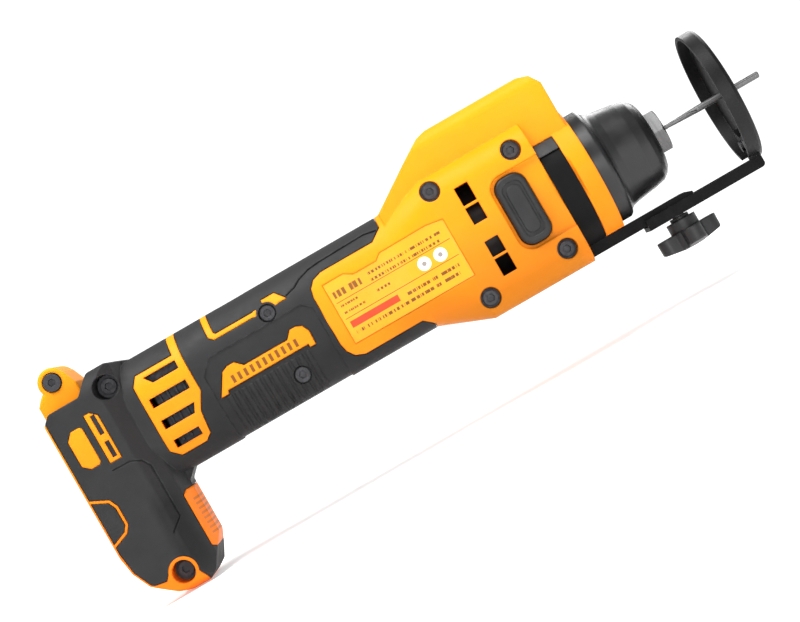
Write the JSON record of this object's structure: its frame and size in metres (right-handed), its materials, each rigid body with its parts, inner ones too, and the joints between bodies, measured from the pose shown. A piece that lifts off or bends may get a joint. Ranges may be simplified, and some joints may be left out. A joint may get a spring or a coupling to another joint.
{
  "type": "cordless cut-out tool",
  "caption": "Cordless hand-held trim and cut-out tool with a spiral bit, depth guide on a sliding arm, spindle lock button and slide-on battery foot, shown without battery.",
  "frame": {"origin": "spindle axis in the plane of the depth guide's working face, guide drawn out as in the picture", "axes": "+X along the spindle towards the bit tip, +Z away from the battery foot, +Y to the tool's left side"},
  "size_m": [0.3578, 0.0664, 0.1263],
  "materials": {
    "yellow_housing": "satin",
    "soft_grip": "matte",
    "label_film": "satin",
    "black_screw": "satin",
    "nose_black": "satin",
    "steel": "satin",
    "bearing_steel": "polished",
    "boot_rubber": "matte",
    "lamination": "satin",
    "copper": "satin",
    "magnet": "satin",
    "fan_plastic": "satin",
    "button_rubber": "matte",
    "black_plastic": "satin",
    "tray_aluminium": "satin",
    "board_green": "satin",
    "terminal_copper": "satin",
    "lead_insulation": "satin",
    "lens_clear": "gloss",
    "guide_black": "satin",
    "knob_plastic": "satin"
  },
  "bodies": {
    "tool_body": {"housing_right": "yellow_housing", "housing_left": "yellow_housing", "grip_right": "soft_grip", "grip_left": "soft_grip", "rating_label": "label_film", "housing_screws": "black_screw", "nose_cone": "nose_black", "front_bearing_outer_race": "bearing_steel", "front_bearing_balls": "bearing_steel", "rear_bearing_outer_race": "bearing_steel", "rear_bearing_balls": "bearing_steel", "bearing_boot": "boot_rubber", "stator_core": "lamination", "stator_coils": "copper", "fan_shroud": "black_plastic", "window_inserts": "black_plastic", "switch_module": "black_plastic", "controller_tray": "tray_aluminium", "controller_board": "board_green", "terminal_block": "black_plastic", "terminal_blades": "terminal_copper", "motor_leads": "lead_insulation", "supply_leads": "lead_insulation", "lamp_lens": "lens_clear", "lamp_board": "board_green", "guide_base": "guide_black", "guide_clips": "black_plastic", "clamp_nut": "steel"},
    "spindle_line": {"spindle": "steel", "collet": "steel", "collet_nut": "steel", "cut_out_bit": "steel", "fan": "fan_plastic", "rotor_core": "lamination", "rotor_magnets": "magnet", "front_bearing_inner_race": "bearing_steel", "rear_bearing_inner_race": "bearing_steel"},
    "spindle_lock": {"lock_button": "button_rubber", "lock_pin": "steel", "lock_spring": "steel"},
    "power_key": {"power_button": "button_rubber", "power_spring": "steel"},
    "depth_guide": {"guide_arm": "guide_black", "guide_disc": "guide_black", "guide_rivets": "black_screw"},
    "guide_clamp": {"clamp_knob": "knob_plastic", "clamp_screw": "steel"}
  },
  "joints": [
    {"name": "spindle_spin", "type": "hinge", "parent": "tool_body", "child": "spindle_line", "pos_m": [0, 0, 0], "axis": [1, 0, 0], "continuous": true},
    {"name": "lock_press", "type": "slide", "parent": "tool_body", "child": "spindle_lock", "axis": [0, 1, 0], "range_m": [0, 0.003], "stiffness_N_per_m": 900, "springref_m": -0.002, "deforming": ["lock_spring"]},
    {"name": "power_press", "type": "slide", "parent": "tool_body", "child": "power_key", "axis": [0, 0, -1], "range_m": [0, 0.002], "stiffness_N_per_m": 900, "springref_m": -0.002, "deforming": ["power_spring"]},
    {"name": "guide_slide", "type": "slide", "parent": "tool_body", "child": "depth_guide", "axis": [1, 0, 0], "range_m": [-0.0235, 0.004]},
    {"name": "clamp_turn", "type": "hinge", "parent": "tool_body", "child": "guide_clamp", "pos_m": [-0.0472, 0, 0], "axis": [0, 0, 1], "range_deg": [0, 360]}
  ]
}
